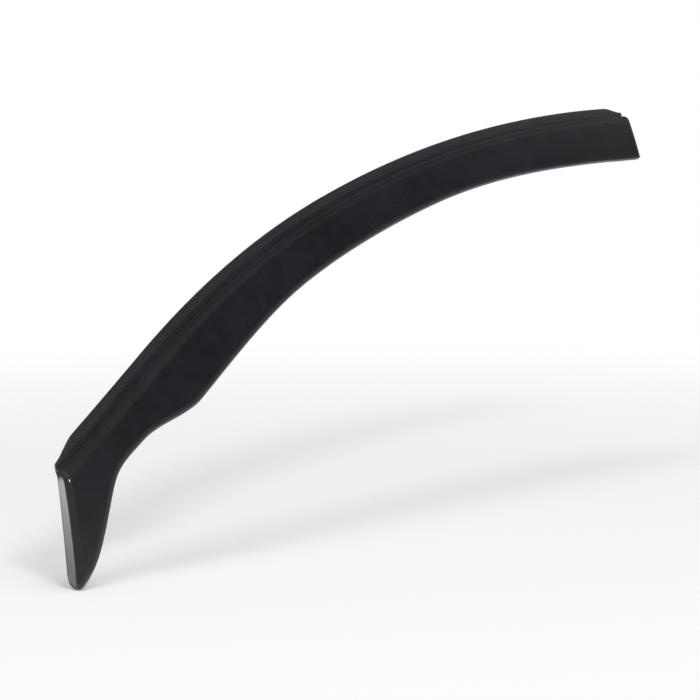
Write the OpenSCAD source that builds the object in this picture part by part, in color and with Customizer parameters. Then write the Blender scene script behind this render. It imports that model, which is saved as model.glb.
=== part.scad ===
// Window rain deflector for a front side window.
// One clear-through smoked acrylic moulding: a thin lip that is pushed up into the
// window channel, a shoulder that steps out from it, a band that stands off the glass,
// a leg down the front edge, and a closed return at each end.
// X runs rearward, Y runs inward and Z runs up. The origin is on the outer face of the
// lip, at the lip's root, at its front end.
//
// The outline is laid out flat, with the lip's root as its base line, and is then
// wrapped on to the double curved side glass.

/* [Lip line] */
// Rise of the straight front stretch of the lip, in degrees
pillar_angle = 32.5; // [29:0.5:36]
// Length of the straight front stretch
pillar_run = 155; // [120:5:190]
// Radius of the bow behind the front stretch
bow_radius = 1250; // [1100:25:1400]
// Rise at which the bow runs into the roof stretch, in degrees
roof_angle = 18; // [15:0.5:20]
// Radius of the roof stretch
roof_radius = 1720; // [1550:10:2000]
// Length of the whole lip, measured along its root
lip_length = 1006; // [940:2:1060]

/* [Side glass] */
// Lean of the glass at the origin, in degrees from upright
glass_lean = 19; // [14:0.5:24]
// Radius of the glass from sill to roof
barrel_radius = 1350; // [1100:50:1800]
// Radius of the glass along its length
plan_radius = 12000; // [8000:500:20000]
// Distance from the origin to where the glass runs parallel to X
plan_crest = 980; // [700:20:1200]

/* [Band] */
// Width of the band where it leaves the front leg
nose_width = 42.5; // [36:0.5:50]
// Distance along the lip to that narrow place
nose_at = 100; // [80:2:120]
// Width at the crest of the wave
wave_width = 58.5; // [50:0.5:68]
// Distance along the lip to the crest of the wave
wave_at = 168; // [150:2:220]
// Width along the bow
waist_width = 51; // [42:0.5:58]
// Distance along the lip to where the bow's width is reached
waist_at = 380; // [320:10:440]
// Distance along the lip to where the band widens again
flare_at = 610; // [500:10:700]
// Width at the rear end
rear_width = 63; // [56:1:76]

/* [Front leg] */
// Length of the front edge, from the lip's root to the foot
leg_length = 112; // [90:1:130]
// Forward lean of the front edge, in degrees from upright
front_tilt = 8; // [2:0.5:14]
// Distance along the lip to where the leg's rear edge would meet the band
leg_root = 61; // [50:1:70]
// Drop of the leg's rear edge for each millimetre along the lip
leg_slope = 2.2; // [1.8:0.1:2.6]
// Softness of the bend between the leg and the band
leg_blend = 26; // [10:1:34]
// Softness of the bend at the rear of the foot
foot_blend = 24; // [8:1:28]
// Radius of the foot's front corner, laid out flat
foot_radius = 16; // [10:1:22]
// Distance along the lip over which the ribs swing square to it
front_fan = 180; // [150:5:220]

/* [Rear end] */
// Forward lean of the rear edge, in degrees from upright
rear_tilt = 17; // [8:1:24]
// Radius of the rear lower corner, laid out flat
rear_radius = 20; // [14:1:28]
// Distance over which the ribs swing into the rear edge
rear_fan = 90; // [60:5:140]

/* [Section] */
// Wall of the band
wall = 3; // [2.4:0.1:3.4]
// Wall of the lip
lip_wall = 1.5; // [1:0.1:2]
// Depth of the lip above its root
lip_depth = 9; // [6:0.5:12]
// Depth of the lip at its two ends
lip_end_depth = 3; // [2:0.5:5]
// Length over which the lip runs down to its ends
lip_runout = 30; // [20:1:50]
// Step from the lip's outer face to the band's outer face
stand_off = 11.5; // [9:0.5:14]
// Slope of the shoulder against the glass, in degrees
shoulder_angle = 62; // [50:1:66]
// Radius where the lip turns out into the shoulder
root_radius = 3; // [2:0.25:4]
// Outer radius where the shoulder turns into the band
crest_radius = 12; // [5:0.5:13]
// Outward flare of the band below the shoulder, in degrees
flare_angle = 3.8; // [1:0.2:6]
// Radius of the band's crown across its width
crown_radius = 1200; // [800:50:2500]

/* [End returns] */
// Slope of the return against the glass, in degrees
return_angle = 80; // [70:1:84]
// Outer radius where the band turns into the return
return_radius = 5; // [4.5:0.25:6]

/* [Mesh] */
// Steps round each bend of the section
bend_steps = 5; // [3:1:7]
// Steps up the flat of the shoulder
ramp_steps = 3; // [1:1:5]
// Steps up the flat of each return
return_steps = 4; // [2:1:6]
// Steps across the band
band_steps = 4; // [3:1:8]
// Steps along the leg
leg_steps = 22; // [14:1:30]
// Steps along the wave
wave_steps = 24; // [16:1:34]
// Steps along the bow and the roof stretch
roof_steps = 40; // [28:1:56]

/* [Hidden] */
smoke = [0.10, 0.095, 0.115];
roof_at = pillar_run + bow_radius * (pillar_angle - roof_angle) * PI / 180;
pillar_end = pillar_run * [cos(pillar_angle), sin(pillar_angle)];
bow_end = pillar_end + turn(bow_radius, pillar_angle, roof_angle);

// Ribs next to the two ends lie along the end edges
front_skew = cos(pillar_angle + front_tilt);
rear_skew = cos(heading(lip_length) + rear_tilt);
fan_start = 20;

// Blends a into b as x runs from x0 to x1
function ease(x0, x1, x) = let (u = min(1, max(0, (x - x0) / (x1 - x0)))) u * u * (3 - 2 * u);
function mix(a, b, u) = a + (b - a) * u;
function soft_max(a, b, c) = (a + b + sqrt((a - b) ^ 2 + c ^ 2)) / 2;
function soft_min(a, b, c) = (a + b - sqrt((a - b) ^ 2 + c ^ 2)) / 2;
function unit(v) = v / norm(v);

// The step along an arc of radius r whose rise falls from a to b
function turn(r, a, b) = r * [sin(a) - sin(b), cos(b) - cos(a)];

// Rise of the lip's root, s along it
function heading(s) =
    s < pillar_run ? pillar_angle :
    s < roof_at ? pillar_angle - (s - pillar_run) / bow_radius * 180 / PI :
    roof_angle - (s - roof_at) / roof_radius * 180 / PI;

// The lip's root on the flat layout
function root_point(s) =
    s < pillar_run ? s * [cos(pillar_angle), sin(pillar_angle)] :
    s < roof_at ? pillar_end + turn(bow_radius, pillar_angle, heading(s)) :
    bow_end + turn(roof_radius, roof_angle, heading(s));

// Lean of the rib at s: degrees from straight down, positive towards the rear
function rib_lean(s) =
    let (square = mix(-front_tilt, heading(s), ease(fan_start, front_fan, s)))
    mix(square, -rear_tilt, ease(lip_length - rear_fan, lip_length - fan_start, s));
function rib(s) = [sin(rib_lean(s)), -cos(rib_lean(s))];

// How much longer a rib is than the square distance from the lip
function rib_stretch(s) = 1 / cos(heading(s) - rib_lean(s));

// What a corner of radius r takes off the end of a rib, u from the end edge along the skin
function corner_cut(u, r) = u >= r ? 0 : r - sqrt(r ^ 2 - (r - u) ^ 2);

// Width of the band without the leg
function band_width(s) =
    nose_width
    + (wave_width - nose_width) * ease(nose_at, wave_at, s)
    + (waist_width - wave_width) * ease(wave_at, waist_at, s)
    + (rear_width - waist_width) * ease(flare_at, lip_length, s);

// Length of the rib at s, down to the lower edge, before its corner is rounded. Behind the
// wave the band keeps its width where the ribs swing out of square.
function rib_length(s) =
    let (leg = nose_width + leg_slope * (leg_root - s))
    let (band = band_width(s) * (s < waist_at ? 1 : rib_stretch(s)))
    soft_min(leg_length, soft_max(band, leg, leg_blend), foot_blend);

function lip_depth_at(s) =
    mix(lip_end_depth, lip_depth, ease(0, lip_runout, min(s, lip_length - s)));

// The section across the lip and the shoulder: [distance from the root, height above
// the lip's outer face, slope, wall]
shoulder_ramp = (stand_off - root_radius * (1 - cos(shoulder_angle))
    - crest_radius * (cos(flare_angle) - cos(shoulder_angle))) / sin(shoulder_angle);
ramp_start = root_radius * [sin(shoulder_angle), 1 - cos(shoulder_angle)];
ramp_end = ramp_start + shoulder_ramp * [cos(shoulder_angle), sin(shoulder_angle)];
shoulder = concat(
    [for (k = [0 : bend_steps]) let (a = shoulder_angle * k / bend_steps)
        [root_radius * sin(a), root_radius * (1 - cos(a)), a, mix(lip_wall, wall, k / bend_steps)]],
    [for (k = [1 : ramp_steps - 1]) let (p = mix(ramp_start, ramp_end, k / ramp_steps))
        [p[0], p[1], shoulder_angle, wall]],
    [for (k = [0 : bend_steps]) let (a = mix(shoulder_angle, flare_angle, k / bend_steps))
        let (p = ramp_end + turn(crest_radius, shoulder_angle, a)) [p[0], p[1], a, wall]]);
shoulder_run = shoulder[len(shoulder) - 1][0];
shoulder_rise = shoulder[len(shoulder) - 1][1];

// The return at an end: [distance from the edge, height, slope, distance along the skin]
return_rise = (stand_off - return_radius * (1 - cos(return_angle))) / sin(return_angle);
return_top = return_rise * [cos(return_angle), sin(return_angle)];
end_return = concat(
    [for (k = [0 : return_steps - 1]) let (u = return_rise * k / return_steps)
        [u * cos(return_angle), u * sin(return_angle), return_angle, u]],
    [for (k = [0 : bend_steps]) let (a = return_angle * (1 - k / bend_steps))
        let (p = return_top + turn(return_radius, return_angle, a))
        [p[0], p[1], a, return_rise + return_radius * (return_angle - a) * PI / 180]]);
return_run = end_return[len(end_return) - 1][0];
return_skin = end_return[len(end_return) - 1][3];

// A station of the return, from its end edge: places outside and inside, shares of the
// full height outside and inside, and what the rounded corner takes off the rib
function return_station(r, corner) =
    let (low = -wall * cos(return_angle))
    [r[0], r[0] + wall * sin(r[2]), r[1] / stand_off,
     (r[1] - wall * cos(r[2]) - low) / (stand_off - wall - low), corner_cut(r[3], corner)];

// Even steps from a to b, without a
function steps(a, b, n) = [for (k = [1 : n]) mix(a, b, k / n)];

// Every station: [place along the lip outside, place inside, share outside, share inside,
// corner cut]
front_stations = [for (r = end_return) let (e = return_station(r, foot_radius))
    [e[0] / front_skew, e[1] / front_skew, e[2], e[3], e[4]]];
rear_stations = [for (k = [len(end_return) - 1 : -1 : 0])
    let (e = return_station(end_return[k], rear_radius))
    [lip_length - e[0] / rear_skew, lip_length - e[1] / rear_skew, e[2], e[3], e[4]]];
rear_start = lip_length - return_run / rear_skew;
function corner_at(s) =
    corner_cut(return_skin + s * front_skew - return_run, foot_radius)
    + corner_cut(return_skin + (lip_length - s) * rear_skew - return_run, rear_radius);
middle = concat(steps(return_run / front_skew, nose_at, leg_steps),
    steps(nose_at, waist_at, wave_steps), steps(waist_at, rear_start, roof_steps));
stations = concat(front_stations,
    [for (k = [0 : len(middle) - 2]) [middle[k], middle[k], 1, 1, corner_at(middle[k])]],
    rear_stations);

// Wraps a point of the flat layout on to the glass: s along the lip, d along the rib,
// h above the lip's outer face
function wrap(s, d, h) =
    let (p = root_point(s) + d * rib(s))
    let (a = glass_lean + p[1] / barrel_radius * 180 / PI)
    let (foot = [p[0], barrel_radius * (cos(glass_lean) - cos(a))
        + p[0] * (p[0] - 2 * plan_crest) / (2 * plan_radius),
        barrel_radius * (sin(a) - sin(glass_lean))])
    foot + h * unit([cos(a) * (p[0] - plan_crest) / plan_radius, -cos(a), sin(a)]);

// One section: rows from the lip's edge to the lower edge, as [d, h, slope, wall]
function rows(s, cut) =
    let (stretch = rib_stretch(s))
    let (band = rib_length(s) - cut - wall / 2 - shoulder_run * stretch)
    concat([[-lip_depth_at(s) * stretch, 0, 0, lip_wall]],
        [for (r = shoulder) [r[0] * stretch, r[1], r[2], r[3]]],
        [for (k = [1 : band_steps]) let (x = band * k / band_steps)
            [shoulder_run * stretch + x,
             shoulder_rise + x * tan(flare_angle) - x ^ 2 / (2 * crown_radius),
             flare_angle - x / crown_radius * 180 / PI, wall]]);

function outer_row(st) = [for (r = rows(st[0], st[4])) wrap(st[0], r[0], r[1] * st[2])];
function inner_row(st) =
    let (out = rows(st[0], st[4]), in = rows(st[1], st[4]))
    [for (j = [0 : len(out) - 1])
        let (share = min(1, out[j][1] / stand_off))
        let (s = mix(st[0], st[1], share), d = mix(out[j][0], in[j][0], share))
        let (h = in[j][1] - in[j][3] * cos(in[j][2]))
        wrap(s, d + in[j][3] * sin(in[j][2]) * st[3], mix(-lip_wall, h, st[3]))];

// A rounded edge from a to b that bulges away from the point before
function nose(a, b, before, n) =
    let (mid = (a + b) / 2, out = unit(a - before) * norm(a - b) / 2)
    [for (k = [1 : n - 1]) mid + (a - mid) * cos(180 * k / n) + out * sin(180 * k / n)];

// The closed ring of one station, starting in the middle of the lip's edge
function ring(st) =
    let (o = outer_row(st), i = inner_row(st), last = len(o) - 1)
    concat(nose(o[0], i[0], o[1], 2), o, nose(o[last], i[last], o[last - 1], 4),
        [for (j = [last : -1 : 0]) i[j]]);

// Two triangles for a four sided face of the points p, cut along its shorter diagonal
function split(p, a, b, c, d) =
    norm(p[a] - p[c]) < norm(p[b] - p[d]) ? [[a, b, c], [a, c, d]] : [[a, b, d], [b, c, d]];

// Skins a row of closed rings, and closes each end between the two halves of its ring
module loft(rings) {
    m = len(rings[0]);
    n = len(rings);
    half = m / 2;
    points = [for (r = rings) each r];
    skin = [for (i = [1 : n - 1], j = [0 : m - 1]) let (near = (i - 1) * m, far = i * m)
        each split(points, far + j, far + (j + 1) % m, near + (j + 1) % m, near + j)];
    first = concat([[0, 1, m - 1]],
        [for (j = [1 : half - 2]) each split(points, j, j + 1, m - j - 1, m - j)],
        [[half - 1, half, half + 1]]);
    last = [for (f = first) [for (k = [2, 1, 0]) (n - 1) * m + f[k]]];
    polyhedron(points = points, faces = concat(skin, first, last), convexity = 6);
}

// The whole moulding
module deflector() {
    color(smoke) loft([for (st = stations) ring(st)]);
}

deflector();
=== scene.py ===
"""The dressed window rain deflector.

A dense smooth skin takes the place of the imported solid. It comes from the same lengths and
angles as the solid does, wears smoked acrylic, and stands in plain studio light.
"""
import math

import bpy
import numpy as np
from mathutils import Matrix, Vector


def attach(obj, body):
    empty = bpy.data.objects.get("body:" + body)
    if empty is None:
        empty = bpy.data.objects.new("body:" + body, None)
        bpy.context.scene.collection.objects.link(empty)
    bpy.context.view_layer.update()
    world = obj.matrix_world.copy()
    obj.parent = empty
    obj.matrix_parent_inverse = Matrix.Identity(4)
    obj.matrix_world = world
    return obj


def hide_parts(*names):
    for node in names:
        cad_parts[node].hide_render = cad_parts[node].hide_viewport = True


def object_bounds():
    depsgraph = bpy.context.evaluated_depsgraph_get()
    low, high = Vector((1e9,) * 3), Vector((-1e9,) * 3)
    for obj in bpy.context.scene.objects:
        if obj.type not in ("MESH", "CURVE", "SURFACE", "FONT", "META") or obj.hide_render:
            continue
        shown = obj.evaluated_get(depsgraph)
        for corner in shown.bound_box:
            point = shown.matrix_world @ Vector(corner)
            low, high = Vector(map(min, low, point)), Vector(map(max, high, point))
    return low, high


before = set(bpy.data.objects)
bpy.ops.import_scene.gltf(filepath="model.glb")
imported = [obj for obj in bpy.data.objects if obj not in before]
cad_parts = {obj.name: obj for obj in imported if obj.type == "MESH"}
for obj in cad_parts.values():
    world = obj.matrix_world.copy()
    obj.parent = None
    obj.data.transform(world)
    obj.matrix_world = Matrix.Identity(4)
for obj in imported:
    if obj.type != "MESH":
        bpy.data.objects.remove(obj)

CAD_BOX = [list(c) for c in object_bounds()]
MM = 0.001


# ---------------------------------------------- the surface, in millimetres and degrees

# The lip's line from the front end: straight up the pillar, a bow, then the flatter roof
PILLAR_ANGLE, PILLAR_RUN = 32.5, 155.0
BOW_RADIUS = 1250.0
ROOF_ANGLE, ROOF_RADIUS = 18.0, 1720.0
LIP_LENGTH = 1006.0

# The side glass: its lean and barrel, and its curve in plan with the place of its crest
GLASS_LEAN, BARREL_RADIUS = 19.0, 1350.0
PLAN_RADIUS, PLAN_CREST = 12000.0, 980.0

# The band's width at places along the lip
NOSE_WIDTH, NOSE_AT = 42.5, 100.0
WAVE_WIDTH, WAVE_AT = 58.5, 168.0
WAIST_WIDTH, WAIST_AT = 51.0, 380.0
FLARE_AT, REAR_WIDTH = 610.0, 63.0

# The leg: its length, where it grows from and how steeply, and how softly both ends blend
LEG_LENGTH, LEG_ROOT, LEG_SLOPE = 112.0, 61.0, 2.2
LEG_BLEND, FOOT_BLEND, FOOT_RADIUS = 26.0, 24.0, 16.0

# The ends: the lean of the last rib, and the stretch over which the ribs turn to it
FRONT_TILT, FRONT_FAN = 8.0, 180.0
REAR_TILT, REAR_FAN, REAR_RADIUS = 17.0, 90.0, 20.0
FAN_START = 20.0

# The section: walls, lip, shoulder, band, and the return that closes each end
WALL, LIP_WALL = 3.0, 1.5
LIP_DEPTH, LIP_END_DEPTH, LIP_RUNOUT = 9.0, 3.0, 30.0
STAND_OFF, SHOULDER_ANGLE = 11.5, 62.0
ROOT_RADIUS, CREST_RADIUS = 3.0, 12.0
FLARE_ANGLE, CROWN_RADIUS = 3.8, 1200.0
RETURN_ANGLE, RETURN_RADIUS = 80.0, 5.0

# How finely the skin is cut up: across the section, along the lip, and round the cut edges
BEND_STEPS, RAMP_STEPS, BAND_STEPS, LIP_STEPS, RETURN_STEPS = 10, 4, 16, 2, 8
LEG_STEPS, WAVE_STEPS, ROOF_STEPS = 72, 96, 180
EDGE_STEPS, LIP_EDGE_STEPS, ROUND_STEPS = 8, 4, 3

# The last rows of the band share this narrow zone along the lower edge
RIM_STEPS, RIM_ZONE = 3, 6.0
# The rounding of the rims at the two ends, and the most of the last step that it takes
END_ROUND, END_SHARE = 0.5, 0.6
# How far in from the lower edge the second map counts
RIM_REACH = 20.0
# The least length that is divided by
TINY = 1e-6

# The skin's materials, by their places in its list
FACE, CUT, LIP = 0, 1, 2


def sind(a):
    return math.sin(math.radians(a))


def cosd(a):
    return math.cos(math.radians(a))


def mix(a, b, u):
    return a + (b - a) * u


def ease(x0, x1, x):
    u = min(1.0, max(0.0, (x - x0) / (x1 - x0)))
    return u * u * (3 - 2 * u)


def soft_max(a, b, c):
    return (a + b + math.sqrt((a - b) ** 2 + c ** 2)) / 2


def soft_min(a, b, c):
    return (a + b - math.sqrt((a - b) ** 2 + c ** 2)) / 2


def turn(r, a, b):
    """The step along an arc of radius r whose rise falls from a to b."""
    return np.array([r * (sind(a) - sind(b)), r * (cosd(b) - cosd(a))])


# ---------------------------------------------- the layout, flat on the glass

ROOF_AT = PILLAR_RUN + math.radians(PILLAR_ANGLE - ROOF_ANGLE) * BOW_RADIUS
PILLAR_END = PILLAR_RUN * np.array([cosd(PILLAR_ANGLE), sind(PILLAR_ANGLE)])
BOW_END = PILLAR_END + turn(BOW_RADIUS, PILLAR_ANGLE, ROOF_ANGLE)


def heading(s):
    """How steeply the lip rises at s along it."""
    if s < PILLAR_RUN:
        return PILLAR_ANGLE
    if s < ROOF_AT:
        return PILLAR_ANGLE - math.degrees((s - PILLAR_RUN) / BOW_RADIUS)
    return ROOF_ANGLE - math.degrees((s - ROOF_AT) / ROOF_RADIUS)


def root_point(s):
    if s < PILLAR_RUN:
        return s * np.array([cosd(PILLAR_ANGLE), sind(PILLAR_ANGLE)])
    if s < ROOF_AT:
        return PILLAR_END + turn(BOW_RADIUS, PILLAR_ANGLE, heading(s))
    return BOW_END + turn(ROOF_RADIUS, ROOF_ANGLE, heading(s))


FRONT_SKEW = cosd(PILLAR_ANGLE + FRONT_TILT)
REAR_SKEW = cosd(heading(LIP_LENGTH) + REAR_TILT)


def rib_lean(s):
    square = mix(-FRONT_TILT, heading(s), ease(FAN_START, FRONT_FAN, s))
    return mix(square, -REAR_TILT, ease(LIP_LENGTH - REAR_FAN, LIP_LENGTH - FAN_START, s))


def rib(s):
    return np.array([sind(rib_lean(s)), -cosd(rib_lean(s))])


def rib_stretch(s):
    """How much longer a leaning rib is than a square one."""
    return 1 / cosd(heading(s) - rib_lean(s))


def corner_cut(u, r):
    """What a corner of radius r takes off a rib that is u from the end."""
    return 0.0 if u >= r else r - math.sqrt(max(0.0, r ** 2 - (r - u) ** 2))


def band_width(s):
    return (NOSE_WIDTH
            + (WAVE_WIDTH - NOSE_WIDTH) * ease(NOSE_AT, WAVE_AT, s)
            + (WAIST_WIDTH - WAVE_WIDTH) * ease(WAVE_AT, WAIST_AT, s)
            + (REAR_WIDTH - WAIST_WIDTH) * ease(FLARE_AT, LIP_LENGTH, s))


def rib_length(s):
    leg = NOSE_WIDTH + LEG_SLOPE * (LEG_ROOT - s)
    band = band_width(s) * (1 if s < WAIST_AT else rib_stretch(s))
    return soft_min(LEG_LENGTH, soft_max(band, leg, LEG_BLEND), FOOT_BLEND)


def lip_depth_at(s):
    return mix(LIP_END_DEPTH, LIP_DEPTH, ease(0, LIP_RUNOUT, min(s, LIP_LENGTH - s)))


# ---------------------------------------------- the section


def shoulder_rows():
    """The section across the shoulder: [distance from the root, height, slope, wall]."""
    ramp = (STAND_OFF - ROOT_RADIUS * (1 - cosd(SHOULDER_ANGLE))
            - CREST_RADIUS * (cosd(FLARE_ANGLE) - cosd(SHOULDER_ANGLE))) / sind(SHOULDER_ANGLE)
    start = ROOT_RADIUS * np.array([sind(SHOULDER_ANGLE), 1 - cosd(SHOULDER_ANGLE)])
    end = start + ramp * np.array([cosd(SHOULDER_ANGLE), sind(SHOULDER_ANGLE)])
    out = []
    for k in range(BEND_STEPS + 1):
        a = SHOULDER_ANGLE * k / BEND_STEPS
        wall = mix(LIP_WALL, WALL, k / BEND_STEPS)
        out.append([ROOT_RADIUS * sind(a), ROOT_RADIUS * (1 - cosd(a)), a, wall])
    for k in range(1, RAMP_STEPS):
        p = mix(start, end, k / RAMP_STEPS)
        out.append([p[0], p[1], SHOULDER_ANGLE, WALL])
    for k in range(BEND_STEPS + 1):
        a = mix(SHOULDER_ANGLE, FLARE_ANGLE, k / BEND_STEPS)
        p = end + turn(CREST_RADIUS, SHOULDER_ANGLE, a)
        out.append([p[0], p[1], a, WALL])
    return out


SHOULDER = shoulder_rows()
SHOULDER_RUN, SHOULDER_RISE = SHOULDER[-1][0], SHOULDER[-1][1]


def return_rows():
    """The return at an end: [distance from the edge, height, slope, distance along the skin]."""
    rise = (STAND_OFF - RETURN_RADIUS * (1 - cosd(RETURN_ANGLE))) / sind(RETURN_ANGLE)
    top = rise * np.array([cosd(RETURN_ANGLE), sind(RETURN_ANGLE)])
    out = []
    for k in range(RETURN_STEPS):
        u = rise * k / RETURN_STEPS
        out.append([u * cosd(RETURN_ANGLE), u * sind(RETURN_ANGLE), RETURN_ANGLE, u])
    for k in range(BEND_STEPS + 1):
        a = RETURN_ANGLE * (1 - k / BEND_STEPS)
        p = top + turn(RETURN_RADIUS, RETURN_ANGLE, a)
        out.append([p[0], p[1], a, rise + RETURN_RADIUS * math.radians(RETURN_ANGLE - a)])
    return out


END_RETURN = return_rows()
RETURN_RUN, RETURN_SKIN = END_RETURN[-1][0], END_RETURN[-1][3]


def return_station(r, corner):
    """A return's station as all_stations lists it, with its places measured from the end."""
    low = -WALL * cosd(RETURN_ANGLE)
    return [r[0], r[0] + WALL * sind(r[2]), r[1] / STAND_OFF,
            (r[1] - WALL * cosd(r[2]) - low) / (STAND_OFF - WALL - low),
            corner_cut(r[3], corner)]


def corner_at(s):
    front = RETURN_SKIN + s * FRONT_SKEW - RETURN_RUN
    rear = RETURN_SKIN + (LIP_LENGTH - s) * REAR_SKEW - RETURN_RUN
    return corner_cut(front, FOOT_RADIUS) + corner_cut(rear, REAR_RADIUS)


def all_stations():
    """The places of the rings that the skin is lofted through.

    Each is [place along the lip outside, place inside, share of the height outside, inside,
    what the corner takes off].
    """
    out = []
    for r in END_RETURN:
        e = return_station(r, FOOT_RADIUS)
        out.append([e[0] / FRONT_SKEW, e[1] / FRONT_SKEW, e[2], e[3], e[4]])
    start, rear = RETURN_RUN / FRONT_SKEW, LIP_LENGTH - RETURN_RUN / REAR_SKEW
    middle = ([mix(start, NOSE_AT, k / LEG_STEPS) for k in range(1, LEG_STEPS + 1)]
              + [mix(NOSE_AT, WAIST_AT, k / WAVE_STEPS) for k in range(1, WAVE_STEPS + 1)]
              + [mix(WAIST_AT, rear, k / ROOF_STEPS) for k in range(1, ROOF_STEPS)])
    out += [[s, s, 1.0, 1.0, corner_at(s)] for s in middle]
    for r in reversed(END_RETURN):
        e = return_station(r, REAR_RADIUS)
        out.append([LIP_LENGTH - e[0] / REAR_SKEW, LIP_LENGTH - e[1] / REAR_SKEW, e[2], e[3], e[4]])
    return out


def wrap(s, d, h):
    """A point of the layout: s along the lip, d along the rib, h above the lip's outer face."""
    p = root_point(s) + d * rib(s)
    a = GLASS_LEAN + math.degrees(p[1] / BARREL_RADIUS)
    foot = np.array([p[0], BARREL_RADIUS * (cosd(GLASS_LEAN) - cosd(a))
                     + p[0] * (p[0] - 2 * PLAN_CREST) / (2 * PLAN_RADIUS),
                     BARREL_RADIUS * (sind(a) - sind(GLASS_LEAN))])
    n = np.array([cosd(a) * (p[0] - PLAN_CREST) / PLAN_RADIUS, -cosd(a), sind(a)])
    return foot + h * n / np.linalg.norm(n)


def rows(s, cut):
    """The section at s, from the lip's tip to the lower edge, which the corner cuts short."""
    stretch = rib_stretch(s)
    band = rib_length(s) - cut - WALL / 2 - SHOULDER_RUN * stretch
    lip = LIP_WALL / 2 - lip_depth_at(s) * stretch
    out = [[lip * (1 - k / LIP_STEPS), 0.0, 0.0, LIP_WALL] for k in range(LIP_STEPS)]
    out += [[r[0] * stretch, r[1], r[2], r[3]] for r in SHOULDER]
    inner = BAND_STEPS - RIM_STEPS
    for k in range(1, BAND_STEPS + 1):
        if k <= inner:
            x = (band - RIM_ZONE) * k / inner
        else:
            x = band - RIM_ZONE * (BAND_STEPS - k) / RIM_STEPS
        rise = x * math.tan(math.radians(FLARE_ANGLE)) - x * x / (2 * CROWN_RADIUS)
        slope = FLARE_ANGLE - math.degrees(x / CROWN_RADIUS)
        out.append([SHOULDER_RUN * stretch + x, SHOULDER_RISE + rise, slope, WALL])
    return out


def outer_row(st):
    return [wrap(st[0], r[0], r[1] * st[2]) for r in rows(st[0], st[4])]


def inner_row(st):
    out, inn = rows(st[0], st[4]), rows(st[1], st[4])
    points = []
    for o, i in zip(out, inn):
        share = min(1.0, o[1] / STAND_OFF)
        s, d = mix(st[0], st[1], share), mix(o[0], i[0], share)
        h = i[1] - i[3] * cosd(i[2])
        points.append(wrap(s, d + i[3] * sind(i[2]) * st[3], mix(-LIP_WALL, h, st[3])))
    return points


# ---------------------------------------------- the skin


def nose(a, b, before, n):
    """The points of a rounded edge from a to b that bulges away from the point before."""
    mid = (a + b) / 2
    out = (a - before) / np.linalg.norm(a - before) * np.linalg.norm(a - b) / 2
    return [mid + (a - mid) * cosd(180 * k / n) + out * sind(180 * k / n) for k in range(1, n)]


def ring(st):
    """The closed section at a station, from the middle of the lip's tip and round the outside."""
    o, i = outer_row(st), inner_row(st)
    top = nose(i[0], o[0], i[1], LIP_EDGE_STEPS)
    half = len(top) // 2
    edge = nose(o[-1], i[-1], o[-2], EDGE_STEPS)
    return np.array(top[half:] + o + edge + i[::-1] + top[:half])


def rounded_end(last, before):
    """The rings that round the rim of an end over END_ROUND, and so replace its last ring."""
    away = last - before
    step = np.linalg.norm(away, axis=1)[:, None]
    away = away / np.maximum(step, TINY)
    reach = np.minimum(END_ROUND, END_SHARE * step)
    along = np.roll(last, -1, axis=0) - np.roll(last, 1, axis=0)
    inward = np.cross(away, along)
    inward /= np.maximum(np.linalg.norm(inward, axis=1)[:, None], TINY)
    middle = (last + last[(-np.arange(len(last))) % len(last)]) / 2
    flip = np.sign(np.sum(inward * (middle - last), axis=1))[:, None]
    inward *= np.where(np.median(flip) < 0, -1, 1)
    out = []
    for k in range(ROUND_STEPS + 1):
        t = 90 * k / ROUND_STEPS
        out.append(last - away * reach * (1 - sind(t)) + inward * END_ROUND * (1 - cosd(t)))
    return out


def skin():
    """The skin's points in metres, its faces and their materials.

    With them come the number of rings, the points in each, and the place in a ring of the
    middle of the lower edge.
    """
    rings = [ring(st) for st in all_stations()]
    front, rear = rounded_end(rings[0], rings[1]), rounded_end(rings[-1], rings[-2])
    rings = front[::-1] + rings[1:-1] + rear
    n, m = len(rings), len(rings[0])
    half = m // 2
    lead = LIP_EDGE_STEPS // 2                              # ring points before the outer row
    lip_end = lead + LIP_STEPS                              # the outer row's root
    edge_start = lip_end + len(SHOULDER) + BAND_STEPS - 1   # the outer row's last point
    faces, slots = [], []
    for i in range(1, n):
        for j in range(m):
            k = (j + 1) % m
            faces.append([(i - 1) * m + j, (i - 1) * m + k, i * m + k, i * m + j])
            side = j if j < half else m - 1 - j
            rim = i <= ROUND_STEPS or i >= n - ROUND_STEPS
            slots.append(CUT if rim or side >= edge_start else LIP if side < lip_end else FACE)

    # Each end is closed by a strip of faces from the outer side of its ring to the inner one
    for base, order in ((0, -1), ((n - 1) * m, 1)):
        cap = [[0, 1, m - 1], [half - 1, half, half + 1]]
        cap += [[j, j + 1, m - j - 1, m - j] for j in range(1, half - 1)]
        for f in cap:
            faces.append([base + v for v in f][::order])
            slots.append(CUT)
    return np.concatenate(rings) * MM, faces, slots, (n, m, edge_start + EDGE_STEPS // 2)


# ---------------------------------------------- node building


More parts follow.
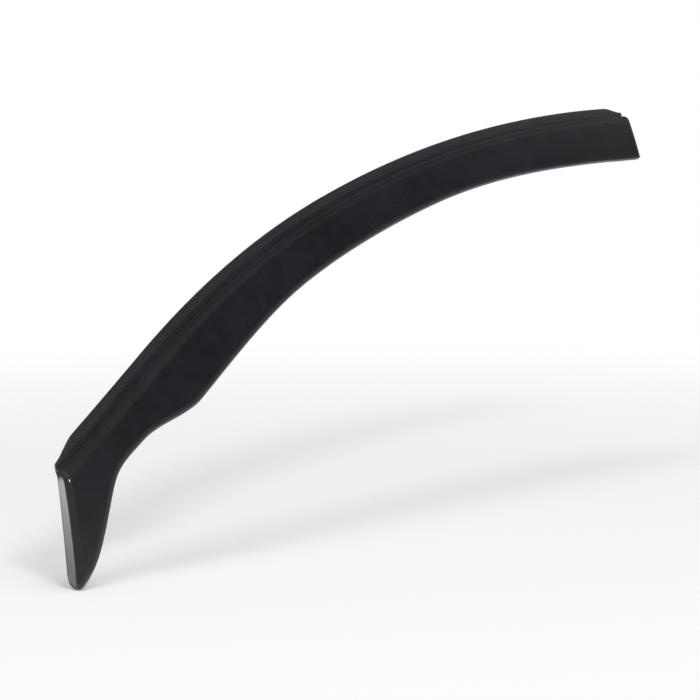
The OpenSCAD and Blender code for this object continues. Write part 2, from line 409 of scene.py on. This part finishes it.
class Tree:
    """The node tree of a material, lamp or world, and the kinds of node that it is built from."""

    def __init__(self, owner):
        owner.use_nodes = True
        self.nodes, self.links = owner.node_tree.nodes, owner.node_tree.links

    def add(self, kind, **settings):
        node = self.nodes.new("ShaderNode" + kind)
        for name, value in settings.items():
            setattr(node, name, value)
        return node

    def feed(self, socket, value):
        """Link an output to the socket, or write a plain value in it."""
        if isinstance(value, bpy.types.NodeSocket):
            self.links.new(value, socket)
        else:
            socket.default_value = value

    def maths(self, operation, a, b, clamp=False):
        node = self.add("Math", operation=operation, use_clamp=clamp)
        self.feed(node.inputs[0], a)
        self.feed(node.inputs[1], b)
        return node.outputs[0]

    def vectors(self, operation, a, b=(0, 0, 0)):
        """The number that the operation makes of the two vectors."""
        node = self.add("VectorMath", operation=operation)
        self.feed(node.inputs[0], a)
        self.feed(node.inputs[1], b)
        return node.outputs["Value"]

    def part(self, vector, axis):
        node = self.add("SeparateXYZ")
        self.feed(node.inputs[0], vector)
        return node.outputs[axis]

    def smooth(self, value, start, end, before=0.0, after=1.0):
        """Turn value from before to after, softly, as it runs from start to end."""
        node = self.add("MapRange", interpolation_type="SMOOTHSTEP")
        for name, number in (("From Min", start), ("From Max", end),
                             ("To Min", before), ("To Max", after), ("Value", value)):
            self.feed(node.inputs[name], number)
        return node.outputs["Result"]

    def ramp(self, fac, stops, interpolation="LINEAR"):
        """A ramp through stops, each a place and a colour or a level of grey."""
        node = self.add("ValToRGB")
        band = node.color_ramp
        band.interpolation = interpolation
        while len(band.elements) < len(stops):
            band.elements.new(0.5)
        for e, (at, tone) in zip(band.elements, stops):
            e.position = at
            e.color = (*tone, 1) if isinstance(tone, tuple) else (tone, tone, tone, 1)
        self.feed(node.inputs["Fac"], fac)
        return node.outputs["Color"]

    def choose(self, fac, without, with_it):
        node = self.add("MixShader")
        for socket, value in zip(node.inputs, (fac, without, with_it)):
            self.feed(socket, value)
        return node.outputs[0]


class Finish(Tree):
    """A material of the acrylic. A sheet and its cut differ in how much light they let through."""

    IOR = 1.49
    SPECULAR = 0.5

    def __init__(self, name, transmission):
        self.material = bpy.data.materials.new(name)
        super().__init__(self.material)
        self.nodes.clear()
        self.shader = self.add("BsdfPrincipled")
        self.feed(self.add("OutputMaterial").inputs["Surface"], self.shader.outputs[0])
        self.to("Specular IOR Level", self.SPECULAR)
        self.to("IOR", self.IOR)
        self.to("Transmission Weight", transmission)
        self.place = self.add("TexCoord").outputs["Object"]
        self.along = self.uv("along")

    def to(self, socket, value):
        self.feed(self.shader.inputs[socket], value)

    def uv(self, name):
        return self.add("UVMap", uv_map=name).outputs["UV"]

    def noise(self, coords, scale, detail, rough, stretch=(1, 1, 1)):
        mapping = self.add("Mapping")
        self.feed(mapping.inputs["Scale"], stretch)
        self.feed(mapping.inputs["Vector"], coords)
        node = self.add("TexNoise")
        for name, value in (("Scale", scale), ("Detail", detail), ("Roughness", rough),
                            ("Vector", mapping.outputs[0])):
            self.feed(node.inputs[name], value)
        return node.outputs["Fac"]

    def blend(self, fac, colour, other):
        """From colour to the fixed colour other as fac runs from 0 to 1."""
        node = self.add("Mix", data_type="RGBA")
        self.feed(node.inputs["Factor"], fac)
        self.feed(node.inputs[6], colour)                   # A, as a colour
        self.feed(node.inputs[7], (*other, 1))              # B, as a colour
        return node.outputs[2]                              # the result, as a colour

    def bump(self, height, strength, distance, normal=None):
        """Bumps of a height in metres, over those in normal."""
        node = self.add("Bump")
        self.feed(node.inputs["Strength"], strength)
        self.feed(node.inputs["Distance"], distance)
        self.feed(node.inputs["Height"], height)
        if normal is not None:
            self.feed(node.inputs["Normal"], normal)
        return node.outputs["Normal"]


# ---------------------------------------------- materials

# The smoke tint where it is deepest and palest, and the colour of the painted glow near the lower
# edge, which stands in for light that comes out of the cut
TINT_DEEP, TINT_PALE = (0.0140, 0.0134, 0.0165), (0.0250, 0.0235, 0.0305)
PAINTED_RIM_GLOW = (0.070, 0.068, 0.076)
# The cut edge's colours, a painted highlight: paler than the sheet to stand in for the light that
# the edge gathers
PAINTED_EDGE_DEEP, PAINTED_EDGE_PALE = (0.085, 0.084, 0.092), (0.135, 0.133, 0.143)
LIP_DEEP, LIP_PALE = (0.032, 0.030, 0.037), (0.038, 0.035, 0.044)

# How the painted glow falls off from the lower edge, by shares of RIM_REACH, and then by metres
# along the lip
PAINTED_GLOW_FALL = ((0.12, 1.0), (0.19, 0.5), (0.30, 0.0))
PAINTED_GLOW_FADE = ((0.60, 1.0), (0.98, 0.35))


def smoked_acrylic():
    """Near black sheet with a violet cast and a faint drift of tint, pressed smooth.

    It carries wipe marks and a little film. Near the lower edge its colour holds a painted glow,
    lighter towards the cut and fading towards the rear, which stands in for light that runs
    inside the sheet and comes out near the cut.
    """
    g = Finish("smoked_acrylic", transmission=0.4)
    drift = g.maths("MULTIPLY", g.noise(g.place, scale=7, detail=2, rough=0.5),
                    g.noise(g.place, scale=55, detail=4, rough=0.6))
    tint = g.ramp(drift, [(0.12, TINT_DEEP), (0.42, TINT_PALE)])
    # Painted glow: the base colour is lifted near the lower edge, less so towards the rear,
    # standing in for light that comes out of the cut
    glow = g.maths("MULTIPLY", g.ramp(g.part(g.uv("rim"), "X"), PAINTED_GLOW_FALL),
                   g.ramp(g.part(g.along, "X"), PAINTED_GLOW_FADE))
    g.to("Base Color", g.blend(glow, tint, PAINTED_RIM_GLOW))
    wipes = g.ramp(g.noise(g.along, scale=30, detail=3, rough=0.6, stretch=(1, 6, 1)),
                   [(0.35, 0.045), (0.75, 0.13)])
    film = g.ramp(g.noise(g.place, scale=70, detail=5, rough=0.6), [(0.45, 0.0), (0.8, 0.06)])
    g.to("Roughness", g.maths("ADD", wipes, film))
    form = g.bump(g.noise(g.place, scale=18, detail=2, rough=0.4), strength=0.06, distance=0.0010)
    peel = g.noise(g.place, scale=360, detail=2, rough=0.5)
    g.to("Normal", g.bump(peel, strength=0.02, distance=0.0001, normal=form))
    return g.material


def polished_edge_with_painted_highlight():
    """The cut edge, milled and flame polished. Its paler colour is a painted highlight, which
    stands in for the light that the edge gathers.
    """
    g = Finish("polished_edge_with_painted_highlight", transmission=0.1)
    cut = g.noise(g.along, scale=45, detail=4, rough=0.6, stretch=(1, 3, 1))
    # Painted highlight: the pale base colour stands in for the light that the cut edge gathers
    g.to("Base Color", g.ramp(cut, [(0.30, PAINTED_EDGE_DEEP), (0.75, PAINTED_EDGE_PALE)]))
    g.to("Roughness", g.ramp(cut, [(0.3, 0.14), (0.8, 0.32)]))
    mill = g.noise(g.along, scale=900, detail=3, rough=0.6, stretch=(1, 0.2, 1))
    g.to("Normal", g.bump(mill, strength=0.15, distance=0.0001))
    return g.material


def rubbed_lip():
    """The thin lip, which lets more light through. The channel rubs it dull along its length."""
    g = Finish("rubbed_lip", transmission=0.75)
    tint = g.noise(g.place, scale=14, detail=4, rough=0.6)
    g.to("Base Color", g.ramp(tint, [(0.30, LIP_DEEP), (0.75, LIP_PALE)]))
    rub = g.noise(g.along, scale=120, detail=3, rough=0.5, stretch=(0.15, 3, 1))
    g.to("Roughness", g.ramp(rub, [(0.3, 0.22), (0.8, 0.38)]))
    g.to("Normal", g.bump(rub, strength=0.03, distance=0.0001))
    return g.material


# ---------------------------------------------- the piece


def lengths(line):
    """How far along a line of points each of them is."""
    return np.concatenate([[0], np.cumsum(np.linalg.norm(np.diff(line, axis=0), axis=1))])


def reach_of(point, line):
    """How far the point is from a line of points."""
    step = line[1:] - line[:-1]
    share = np.sum((point - line[:-1]) * step, axis=1) / np.sum(step ** 2, axis=1)
    foot = line[:-1] + np.clip(share, 0, 1)[:, None] * step
    return np.sqrt(np.sum((foot - point) ** 2, axis=1).min())


def build_shell():
    points, faces, slots, (n, m, tip) = skin()
    mesh = bpy.data.meshes.new("deflector_skin")
    mesh.from_pydata(points.tolist(), [], faces)
    mesh.polygons.foreach_set("material_index", slots)
    mesh.polygons.foreach_set("use_smooth", [True] * len(faces))
    corners = np.zeros(len(mesh.loops), np.int32)
    mesh.loops.foreach_get("vertex_index", corners)

    # The first map runs along the lip and round the section, both in metres
    grid = points.reshape(n, m, 3)
    u, v = lengths(grid[:, m // 4]), lengths(grid[n // 2])
    # The second holds the distance from the middle of the lower edge, as a share of RIM_REACH
    near = np.array([reach_of(p, grid[:, tip]) for p in points]) / (RIM_REACH * MM)
    for name, first, second in (("along", u[corners // m], v[corners % m]),
                                ("rim", np.minimum(near, 1.0)[corners], np.zeros(len(corners)))):
        layer = mesh.uv_layers.new(name=name)
        pairs = np.stack([first, second], axis=1).astype(np.float32)
        layer.data.foreach_set("uv", pairs.ravel())
    mesh.validate()
    mesh.update()
    piece = bpy.data.objects.new("deflector_skin", mesh)
    bpy.context.scene.collection.objects.link(piece)
    for make in (smoked_acrylic, polished_edge_with_painted_highlight, rubbed_lip):    # in the order FACE, CUT, LIP
        mesh.materials.append(make())
    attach(piece, "root")
    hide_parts("deflector")
    return piece


# ---------------------------------------------- floor, light and camera, in metres and watts

WHITE = (1, 1, 1, 1)
MIDDLE = (0.47, 0.03)                       # the part's middle, seen from above
MIDDLE_HEIGHT = 0.08

# What lights plain surfaces, and the level of the white that the eye sees
WORLD_LEVEL, WHITE_LEVEL = 0.60, 1.0
# The room that gloss sees, by the height of the direction: 0 is level and 1 straight up
WALLS = ((0.04, 1.0), (0.24, 0.53), (0.74, 0.47), (0.94, 1.0))
# Its dark sides: the direction, the angles from it where each ends and where it is full, and
# the share of the light that is left there
DARK_SIDES = (((0.66, -0.52, 0.54), 27, 3, 0.08),
              ((0.47, 0.67, 0.57), 60, 25, 0.25),
              ((0.30, -0.05, 0.95), 42, 10, 0.28))

FLOOR_RADIUS, FLOOR_SIDES, FLOOR_GREY = 4.0, 96, 0.91
FLOOR_GAP = 0.0005                          # between the floor and the part's lowest point
FADE_START, FADE_END = 0.15, 1.6            # from the floor's middle

# Name, place, aim, width and height, power, and whether gloss shows the lamp
CENTRE = (*MIDDLE, MIDDLE_HEIGHT)
LAMPS = (("key", (-0.9, -2.2, 2.3), CENTRE, (1.3, 0.9), 136, True),
         ("top", (0.5, 0.2, 2.6), CENTRE, (3.4, 1.5), 76, False),
         ("front", (-2.1, 1.75, 0.30), (0, -0.02, -0.04), (0.9, 0.9), 20, True))

EYE, EYE_AIM = (-1.8226, -1.8878, 0.3900), (0.4440, 0.0514, 0.0599)
LENS, SENSOR = 160.0, 36.0                  # millimetres
NEAREST, FARTHEST = 0.05, 50.0


def look(place, aim):
    """The rotation of a lamp or camera at place that is turned to aim."""
    return (Vector(place) - Vector(aim)).to_track_quat("Z", "Y").to_euler()


def build_world():
    """White to the eye and through the sheet, a dim sided room to gloss, plain to the rest."""
    world = bpy.data.worlds.new("studio")
    bpy.context.scene.world = world
    tree = Tree(world)
    tree.nodes.clear()
    towards = tree.add("TexCoord").outputs["Generated"]
    room = tree.ramp(tree.part(towards, "Z"), WALLS, "EASE")
    for side, end, full, left in DARK_SIDES:
        facing = tree.vectors("DOT_PRODUCT", towards, Vector(side).normalized())
        dark = tree.smooth(facing, cosd(end), cosd(full), before=1.0, after=left)
        room = tree.maths("MULTIPLY", dark, room)

    def light(strength):
        node = tree.add("Background")
        tree.feed(node.inputs["Color"], WHITE)
        tree.feed(node.inputs["Strength"], strength)
        return node.outputs[0]

    path = tree.add("LightPath").outputs
    shade = tree.choose(path["Is Glossy Ray"], light(WORLD_LEVEL), light(room))
    shade = tree.choose(path["Is Transmission Ray"], shade, light(WHITE_LEVEL))
    shade = tree.choose(path["Is Camera Ray"], shade, light(WHITE_LEVEL))
    tree.feed(tree.add("OutputWorld").inputs["Surface"], shade)


def build_floor(z):
    """A pale disc that keeps the shadow, and turns white with distance to all but diffuse rays."""
    mesh = bpy.data.meshes.new("floor")
    angles = [2 * math.pi * k / FLOOR_SIDES for k in range(FLOOR_SIDES)]
    rim = [(FLOOR_RADIUS * math.cos(a), FLOOR_RADIUS * math.sin(a), 0) for a in angles]
    mesh.from_pydata(rim, [], [list(range(FLOOR_SIDES))])
    floor = bpy.data.objects.new("floor", mesh)
    floor.location = (*MIDDLE, z)
    bpy.context.scene.collection.objects.link(floor)

    material = bpy.data.materials.new("pale_floor")
    tree = Tree(material)
    tree.nodes.clear()
    distance = tree.vectors("LENGTH", tree.add("TexCoord").outputs["Object"])
    diffuse_ray = tree.add("LightPath").outputs["Is Diffuse Ray"]
    fade = tree.smooth(distance, FADE_START, FADE_END)
    white_share = tree.maths("SUBTRACT", fade, diffuse_ray, clamp=True)
    plain = tree.add("BsdfDiffuse")
    tree.feed(plain.inputs["Color"], (FLOOR_GREY, FLOOR_GREY, FLOOR_GREY, 1))
    white = tree.add("Emission")
    shade = tree.choose(white_share, plain.outputs[0], white.outputs[0])
    tree.feed(tree.add("OutputMaterial").inputs["Surface"], shade)
    mesh.materials.append(material)


def softbox(name, place, aim, size, energy, in_gloss):
    """A lamp behind a diffuser, brightest in its middle."""
    data = bpy.data.lights.new(name, "AREA")
    data.shape = "RECTANGLE"
    data.size, data.size_y = size
    data.energy = energy
    tree = Tree(data)
    across = tree.add("NewGeometry").outputs["Parametric"]
    away = tree.vectors("DISTANCE", across, (0.5, 0.5, 0))      # 0.5 from the middle to a side
    tree.feed(tree.nodes["Emission"].inputs["Strength"],
              tree.smooth(away, 0.0, 0.5, before=1.0, after=0.0))
    lamp = bpy.data.objects.new(name, data)
    lamp.location = place
    lamp.rotation_euler = look(place, aim)
    lamp.visible_camera = False
    lamp.visible_glossy = in_gloss
    bpy.context.scene.collection.objects.link(lamp)


def build_camera():
    """The photograph's place for the eye, with a longer lens turned to the part."""
    data = bpy.data.cameras.new("eye")
    data.lens, data.sensor_width = LENS, SENSOR
    data.clip_start, data.clip_end = NEAREST, FARTHEST
    camera = bpy.data.objects.new("eye", data)
    camera.location = EYE
    camera.rotation_euler = look(EYE, EYE_AIM)
    bpy.context.scene.collection.objects.link(camera)
    bpy.context.scene.camera = camera


build_shell()
build_floor(CAD_BOX[0][2] - FLOOR_GAP)
build_world()
for lamp in LAMPS:
    softbox(*lamp)
build_camera()
bpy.context.scene.view_settings.view_transform = "Standard"
